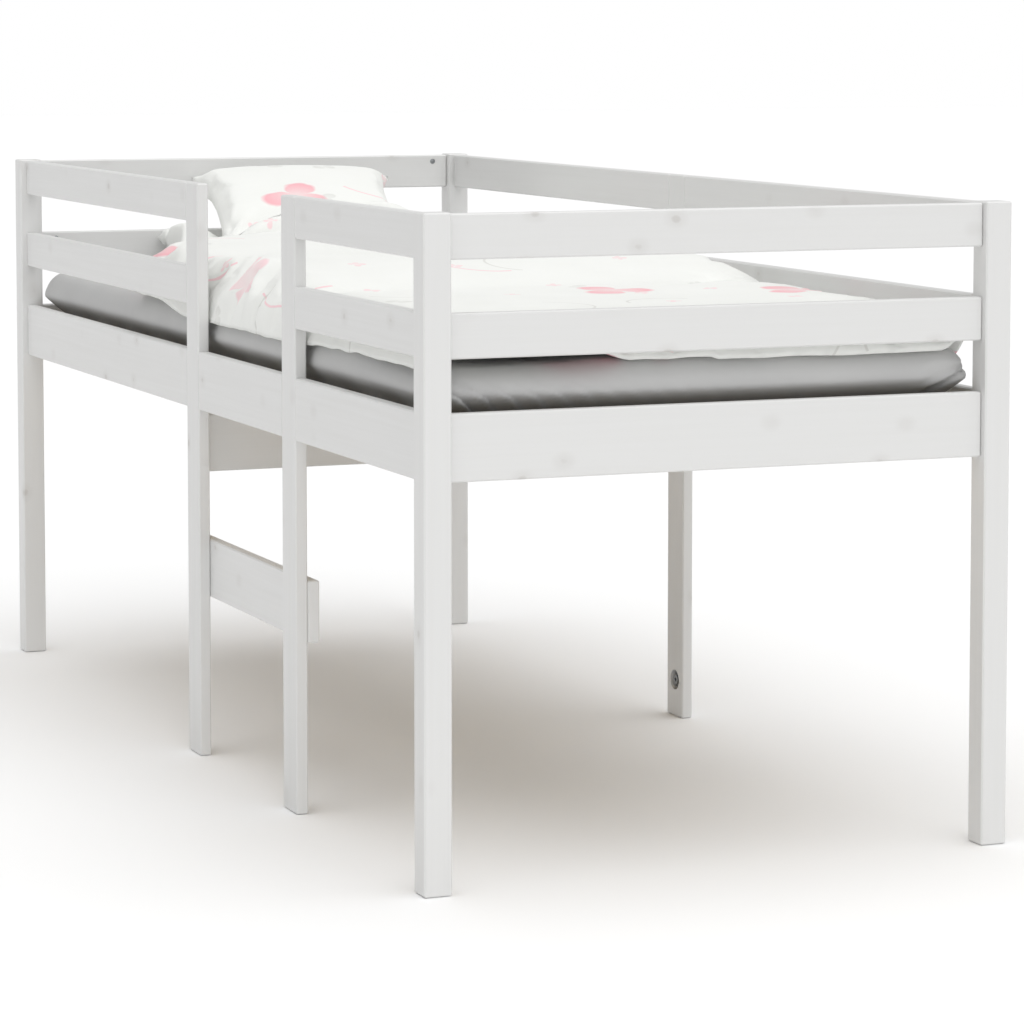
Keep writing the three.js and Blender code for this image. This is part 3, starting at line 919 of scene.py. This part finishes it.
    # The foot end reaches almost to the rail, and rounds in beside the corner posts.
    from_post = ease((POST_INNER.y - 0.004 - np.abs(points[:, 1])) / 0.02)
    beside_post = POST_INNER.x - 0.0015
    limit = beside_post + from_post * (RAIL_INNER_X - 0.002 - beside_post)
    points[:, 0] = np.minimum(points[:, 0], limit)
    set_points(piece, points)
    return piece


# ---- Settings --------------------------------------------------------------------------------------

class PaintSettings(bpy.types.PropertyGroup):
    """How the grain and the knots show through the paint"""

    grain_width: bpy.props.FloatProperty(
        name="Grain Width", description="Width of one ridge of grain under the paint",
        default=3.5 * MM, min=1 * MM, max=20 * MM, unit="LENGTH",
    )
    grain_bleed: bpy.props.FloatProperty(
        name="Grain Bleed", description="How much of the grain's colour shows through the paint",
        default=0.05, min=0.0, max=1.0, subtype="FACTOR",
    )
    knot_bleed: bpy.props.FloatProperty(
        name="Knot Bleed", description="How much of a knot's colour shows through the paint",
        default=0.28, min=0.0, max=1.0, subtype="FACTOR",
    )
    knot_share: bpy.props.FloatProperty(
        name="Knots", description="Share of the possible places that hold a knot",
        default=0.6, min=0.0, max=1.0, subtype="FACTOR",
    )


class BeddingSettings(bpy.types.PropertyGroup):
    """Shapes of the mattress, the pillows and the duvet"""

    mattress_edge: bpy.props.FloatProperty(
        name="Mattress Edge", description="Radius of the mattress's long edges",
        default=38 * MM, min=5 * MM, max=49 * MM, unit="LENGTH",
    )
    pleat_spacing: bpy.props.FloatProperty(
        name="Pleat Spacing", description="Distance between the pleats at the foot end of the sheet",
        default=36 * MM, min=10 * MM, max=100 * MM, unit="LENGTH",
    )
    pillow_lean: bpy.props.FloatProperty(
        name="Pillow Lean", description="Slope of the upper pillow, in degrees",
        default=15.5, min=0.0, max=60.0,
    )
    pillow_height: bpy.props.FloatProperty(
        name="Pillow Height", description="Height of the middle of the upper pillow",
        default=0.8025, min=0.7, max=0.9, unit="LENGTH",
    )
    pillow_yaw: bpy.props.FloatProperty(
        name="Pillow Yaw", description="How far the pillows are turned in plan, in degrees",
        default=11.0, min=-90.0, max=90.0,
    )
    pillow_pressure: bpy.props.FloatProperty(
        name="Pillow Pressure", description="Pressure that swells the pillows in simulation",
        default=3.0, min=0.0, max=20.0,
    )
    duvet_puff: bpy.props.FloatProperty(
        name="Duvet Puff", description="Height of the soft rises and hollows in the duvet's top",
        default=4 * MM, min=0.0, max=20 * MM, unit="LENGTH",
    )
    duvet_hem: bpy.props.FloatProperty(
        name="Duvet Hem", description="Height of the duvet's lower edge at the long sides",
        default=0.672, min=0.6, max=0.7, unit="LENGTH",
    )
    duvet_pressure: bpy.props.FloatProperty(
        name="Duvet Pressure", description="Pressure that swells the duvet in simulation",
        default=1.2, min=0.0, max=20.0,
    )
    duvet_slack: bpy.props.FloatProperty(
        name="Duvet Slack", description="Spare cloth in the cover, which gathers into folds",
        default=0.04, min=0.0, max=0.3, subtype="FACTOR",
    )
    print_strength: bpy.props.FloatProperty(
        name="Print", description="Strength of the printed flowers",
        default=0.9, min=0.0, max=1.0, subtype="FACTOR",
    )


class FittingSettings(bpy.types.PropertyGroup):
    """Sizes of the bolts, nuts and screws"""

    nut_radius: bpy.props.FloatProperty(
        name="Barrel Nut Radius", description="Radius of a barrel nut",
        default=5 * MM, min=2 * MM, max=10 * MM, unit="LENGTH",
    )
    nut_inset: bpy.props.FloatProperty(
        name="Barrel Nut Inset", description="Distance from the rail's end to the barrel nut's centre",
        default=28.2 * MM, min=10 * MM, max=60 * MM, unit="LENGTH",
    )
    nut_length: bpy.props.FloatProperty(
        name="Barrel Nut Length", description="Length of a barrel nut",
        default=12.4 * MM, min=5 * MM, max=18 * MM, unit="LENGTH",
    )
    bolt_radius: bpy.props.FloatProperty(
        name="Bolt Radius", description="Radius of a connector bolt",
        default=3 * MM, min=2 * MM, max=6 * MM, unit="LENGTH",
    )
    screw_head: bpy.props.FloatProperty(
        name="Screw Head", description="Radius of the screw heads in the rung and the ledges",
        default=4 * MM, min=2 * MM, max=8 * MM, unit="LENGTH",
    )


class StageSettings(bpy.types.PropertyGroup):
    """Camera, lights and floor"""

    camera_place: bpy.props.FloatVectorProperty(
        name="Camera Place", description="Where the camera stands",
        default=(5.4637, -2.1071, 1.1346), subtype="TRANSLATION",
    )
    camera_heading: bpy.props.FloatProperty(
        name="Camera Heading", description="Angle of the view in plan, in degrees from the bed's length",
        default=22.125,
    )
    camera_tilt: bpy.props.FloatProperty(
        name="Camera Tilt", description="How far the camera looks down, in degrees", default=4.365,
    )
    lens: bpy.props.FloatProperty(
        name="Lens", description="Focal length for a 36 mm sensor, in millimetres", default=129.36,
    )
    fall: bpy.props.FloatProperty(
        name="Vertical Shift", description="Vertical shift of the lens, which keeps the posts upright",
        default=-0.2,
    )
    top_light: bpy.props.FloatProperty(
        name="Top Light", description="Strength of the light from above", default=1.75, min=0.0,
    )
    foot_light: bpy.props.FloatProperty(
        name="Foot End Light", description="Strength of the light from the foot end", default=0.4, min=0.0,
    )
    surround: bpy.props.FloatProperty(
        name="Surround", description="How much light the white surround gives", default=0.5, min=0.0,
    )
    floor_colour: bpy.props.FloatVectorProperty(
        name="Floor", description="Colour of the floor", subtype="COLOR", size=4,
        default=colour(0xFAFAFA), min=0.0, max=1.0,
    )


# ---- Operators -------------------------------------------------------------------------------------

class BED_OT_timber(bpy.types.Operator):
    """Paint the posts, uprights, rails, rung and ledges, and leave the slats bare"""

    bl_idname = "bed.timber"
    bl_label = "Finish Timber"

    def execute(self, context):
        paint = context.scene.bed_paint
        painted = [
            painted_pine(f"white_painted_pine_{name}", axis, paint) for axis, name in enumerate("xyz")
        ]
        for node in TIMBER_NODES:
            low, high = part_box(node)
            size = high - low
            axis = max(range(3), key=lambda i: size[i])
            give_material(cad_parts[node], painted[axis])
        slats = bare_pine("planed_bare_pine", 1)
        for node in SLAT_NODES:
            give_material(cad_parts[node], slats)
        return {"FINISHED"}


HALF_BOARD = 9 * MM
NUT_SUNK = 0.4 * MM  # how far a barrel nut's face lies under the face of its rail
POST_BORE = 23.5 * MM  # how far a bolt goes into a corner post or the middle leg
FLAT_BORE = 13.5 * MM  # and into a ladder upright, or behind the cross rail


def connector_places():
    """Where each rail end holds a barrel nut: a name, the nut's centre line on the rail's inner face, the
    direction from the rail into the upright, and the direction out of the inner face."""
    places = []
    for node in FRAME_NODES:
        is_rail = node.endswith("_rail") or "_guard" in node or "_bed_rail_" in node
        if not is_rail or node.startswith("connector"):
            continue
        low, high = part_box(node)
        size = high - low
        wide = size.z > 0.075
        if size.y > size.x:
            along, drop = Vector((0, 1, 0)), (0.025 if wide else 0.012)
            inner = Vector((-1, 0, 0)) if (low.x + high.x) / 2 > -0.001 else Vector((1, 0, 0))
        else:
            along, drop = Vector((1, 0, 0)), (0.050 if wide else 0.030)
            inner = Vector((0, 1, 0))
        centre = (low + high) / 2
        for sign, end in ((-1, low), (1, high)):
            face = centre.copy()
            face.z = high.z - drop
            for i in range(3):
                if along[i]:
                    face[i] = end[i]
            places.append((f"{node}_{'start' if sign < 0 else 'end'}", face, along * sign, inner))
    return places


def replaced_connectors(face):
    """The frame's own connectors at this rail end."""
    found = []
    for node in FRAME_NODES:
        if node.startswith("connector"):
            low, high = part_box(node)
            if all(low[i] - 0.001 <= face[i] <= high[i] + 0.001 for i in range(3)):
                found.append(node)
    return found


class BED_OT_connectors(bpy.types.Operator):
    """Fit a bolt and a slotted barrel nut at every rail end"""

    bl_idname = "bed.connectors"
    bl_label = "Fit Connectors"

    def execute(self, context):
        fitting = context.scene.bed_fittings
        steel = plated_steel("zinc_plated_steel", 0x85888B, 0.28, 0.45)
        patterns = {reach: self.model(fitting, reach) for reach in (POST_BORE, FLAT_BORE)}
        for name, face, outward, inner in connector_places():
            # The pattern's +Z is the nut's open face and its +X points at the upright.
            turn = Matrix((outward, inner.cross(outward), inner)).transposed()
            replaced = replaced_connectors(face + outward * 10 * MM)
            in_flat = name.startswith("cross_rail") or any("ladder_upright" in node for node in replaced)
            place = face - outward * fitting.nut_inset + inner * (HALF_BOARD - NUT_SUNK)
            piece = copy_to(patterns[FLAT_BORE if in_flat else POST_BORE], f"nut_{name}", turn, place)
            finish_piece(piece, steel, replaced)
        for pattern in patterns.values():
            bpy.data.objects.remove(pattern)
        burnished = plated_steel("burnished_steel", 0x4A4C4E, 0.35, 0.55)
        give_material(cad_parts["middle_leg_bolt"], burnished)
        return {"FINISHED"}

    def model(self, fitting, reach):
        """One slotted barrel nut with its bolt, which goes into the upright as far as reach. The nut's open
        face is at the origin and looks along +Z."""
        deselect_all()
        bpy.ops.mesh.primitive_cylinder_add(
            vertices=32, radius=fitting.nut_radius, depth=fitting.nut_length,
            location=(0, 0, -fitting.nut_length / 2), end_fill_type="NGON",
        )
        nut = bpy.context.object
        bevel_edges(nut, 0.5 * MM, 2)
        bpy.ops.mesh.primitive_cube_add(size=1, location=(0, 0, 0), scale=(8 * MM, 1.4 * MM, 3 * MM))
        combine(nut, bpy.context.object, "DIFFERENCE")
        start = -11.5 * MM
        end = fitting.nut_inset + reach
        bpy.ops.mesh.primitive_cylinder_add(
            vertices=20, radius=fitting.bolt_radius, depth=end - start,
            location=((start + end) / 2, 0, NUT_SUNK - HALF_BOARD), rotation=(0, math.pi / 2, 0),
        )
        combine(nut, bpy.context.object, "UNION")
        finish_pattern(nut)
        return nut


class BED_OT_screws(bpy.types.Operator):
    """Drive the countersunk screws into the rung board and the ledges"""

    bl_idname = "bed.screws"
    bl_label = "Drive Screws"

    def execute(self, context):
        fitting = context.scene.bed_fittings
        steel = plated_steel("zinc_plated_screws", 0x8E8C80, 0.3, 0.5)
        pattern = self.model(fitting.screw_head)
        places = []
        low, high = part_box("ladder_rung")
        for node in ("ladder_upright_middle", "ladder_upright_foot"):
            post_low, post_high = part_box(node)
            x = (post_low.x + post_high.x) / 2
            for share in (0.25, 0.75):
                places.append((Vector((x, high.y, low.z + (high.z - low.z) * share)), Vector((0, 1, 0))))
        for node in FRAME_NODES:
            if node.startswith("ledge"):
                low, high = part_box(node)
                inner = Vector((0, 1, 0)) if low.y < 0 else Vector((0, -1, 0))
                y = high.y if low.y < 0 else low.y
                for share in (0.06, 0.35, 0.65, 0.94):
                    x = low.x + (high.x - low.x) * share
                    places.append((Vector((x, y, (low.z + high.z) / 2)), inner))
        for number, (place, outward) in enumerate(places, 1):
            # Every cross recess stops at another angle.
            turn = outward.to_track_quat("Z", "Y").to_matrix() @ Matrix.Rotation(number * 1.3, 3, "Z")
            finish_piece(copy_to(pattern, f"screw_{number:02d}", turn, place), steel)
        bpy.data.objects.remove(pattern)
        return {"FINISHED"}

    def model(self, radius):
        """A shallow domed head with a cross recess, seated on the surface at the origin."""
        deselect_all()
        bpy.ops.mesh.primitive_cylinder_add(
            vertices=28, radius=radius, depth=1.0 * MM, location=(0, 0, 0.2 * MM),
        )
        head = bpy.context.object
        bevel_edges(head, 0.45 * MM, 3)
        for scale in ((4.4 * MM, 1.0 * MM, 1.2 * MM), (1.0 * MM, 4.4 * MM, 1.2 * MM)):
            bpy.ops.mesh.primitive_cube_add(size=1, location=(0, 0, 0.7 * MM), scale=scale)
            combine(head, bpy.context.object, "DIFFERENCE")
        finish_pattern(head)
        return head


class BED_OT_bedding(bpy.types.Operator):
    """Lay the mattress, the pillows and the duvet"""

    bl_idname = "bed.bedding"
    bl_label = "Lay Bedding"

    def execute(self, context):
        settings = context.scene.bed_bedding
        # The sheet gets painted shade from just below the rail's top to a little above it.
        sheet_cotton = woven_cotton(
            "pale_grey_sheet_cotton", 0xCBCBCA, 0xC0C0C0, painted_shade_heights=(RAIL_TOP - 6 * MM, RAIL_TOP + 24 * MM),
        )
        printed_cotton = woven_cotton(
            "white_printed_cotton", 0xF1F2EF, 0xEAEBE7, print_strength=settings.print_strength,
        )
        mattress = make_mattress(settings)
        finish_piece(mattress, sheet_cotton, ["mattress"])
        lower = make_lower_pillow(settings)
        finish_piece(lower, printed_cotton, ["pillow_lower"])
        upper = make_upper_pillow(settings)
        finish_piece(upper, printed_cotton, ["pillow_upper"])
        press_under(lower, upper)
        duvet = make_duvet(settings, mattress, [lower, upper])
        finish_piece(duvet, printed_cotton, ["duvet"])
        return {"FINISHED"}


class BED_OT_stage(bpy.types.Operator):
    """Set up the floor, the lights and the camera"""

    bl_idname = "bed.stage"
    bl_label = "Set Stage"

    def execute(self, context):
        settings = context.scene.bed_stage
        deselect_all()
        bpy.ops.mesh.primitive_plane_add(size=80, location=(0, 0, -0.0005))
        floor = bpy.context.object
        floor.name = "studio_floor"
        material, tree, shader = new_material("matt_white_floor")
        shader.inputs["Base Color"].default_value = settings.floor_colour
        shader.inputs["Roughness"].default_value = 0.9
        give_material(floor, material)
        self.add_sun("overhead_skylight", (0.55, 0.1, 3.0), settings.top_light, 80)
        self.add_sun("foot_end_fill", (3.0, -0.2, 1.6), settings.foot_light, 50)
        self.set_world(context, settings.surround)
        self.add_camera(context, settings)
        context.scene.view_settings.view_transform = "Standard"
        return {"FINISHED"}

    def add_sun(self, name, source, strength, spread):
        """A very broad distant light, which lights the whole floor evenly and casts soft shadows."""
        light = bpy.data.lights.new(name, "SUN")
        light.energy = strength
        light.angle = math.radians(spread)
        lamp = bpy.data.objects.new(name, light)
        lamp.location = source
        lamp.rotation_euler = Vector(source).to_track_quat("Z", "Y").to_euler()
        bpy.context.scene.collection.objects.link(lamp)

    def set_world(self, context, given):
        """A white surround that looks brighter than it lights, as a lit backdrop does."""
        world = bpy.data.worlds.new("white_surround")
        world.use_nodes = True
        tree = world.node_tree
        tree.nodes.clear()
        seen = add_node(tree, "ShaderNodeLightPath").outputs["Is Camera Ray"]
        strength = add_node(tree, "ShaderNodeMapRange", {"Value": seen, "To Min": given, "To Max": 1.0})
        backdrop = add_node(
            tree, "ShaderNodeBackground", {"Color": (1, 1, 1, 1), "Strength": strength.outputs[0]},
        )
        add_node(tree, "ShaderNodeOutputWorld", {"Surface": backdrop.outputs[0]})
        context.scene.world = world

    def add_camera(self, context, settings):
        """A long lens that looks along the bed from beyond its foot end."""
        camera = bpy.data.cameras.new("camera")
        camera.lens = settings.lens
        camera.shift_y = settings.fall
        camera.clip_end = 200
        heading = math.radians(settings.camera_heading)
        tilt = math.radians(settings.camera_tilt)
        ahead = Vector((
            -math.cos(heading) * math.cos(tilt), math.sin(heading) * math.cos(tilt), -math.sin(tilt),
        ))
        stand = bpy.data.objects.new("camera", camera)
        stand.location = settings.camera_place
        stand.rotation_euler = ahead.to_track_quat("-Z", "Y").to_euler()
        context.scene.collection.objects.link(stand)
        context.scene.camera = stand


class BED_PT_panel(bpy.types.Panel):
    """Lists the steps that finish the bed"""

    bl_idname = "BED_PT_panel"
    bl_label = "Bed"
    bl_space_type = "VIEW_3D"
    bl_region_type = "UI"
    bl_category = "Bed"

    def draw(self, context):
        for operator in OPERATORS:
            self.layout.operator(operator.bl_idname)


SETTINGS = {
    "bed_paint": PaintSettings,
    "bed_bedding": BeddingSettings,
    "bed_fittings": FittingSettings,
    "bed_stage": StageSettings,
}
OPERATORS = (BED_OT_timber, BED_OT_connectors, BED_OT_screws, BED_OT_bedding, BED_OT_stage)


def register():
    """Makes the settings, the steps and the panel known."""
    for group in SETTINGS.values():
        bpy.utils.register_class(group)
    for operator in OPERATORS:
        bpy.utils.register_class(operator)
    bpy.utils.register_class(BED_PT_panel)
    for name, group in SETTINGS.items():
        setattr(bpy.types.Scene, name, bpy.props.PointerProperty(type=group))


def unregister():
    """Takes back what register did."""
    for name in SETTINGS:
        delattr(bpy.types.Scene, name)
    bpy.utils.unregister_class(BED_PT_panel)
    for operator in reversed(OPERATORS):
        bpy.utils.unregister_class(operator)
    for group in reversed(list(SETTINGS.values())):
        bpy.utils.unregister_class(group)


def main():
    """Finishes the bed."""
    register()
    bpy.ops.bed.timber()
    bpy.ops.bed.connectors()
    bpy.ops.bed.screws()
    bpy.ops.bed.bedding()
    bpy.ops.bed.stage()


if __name__ == "__main__":
    main()
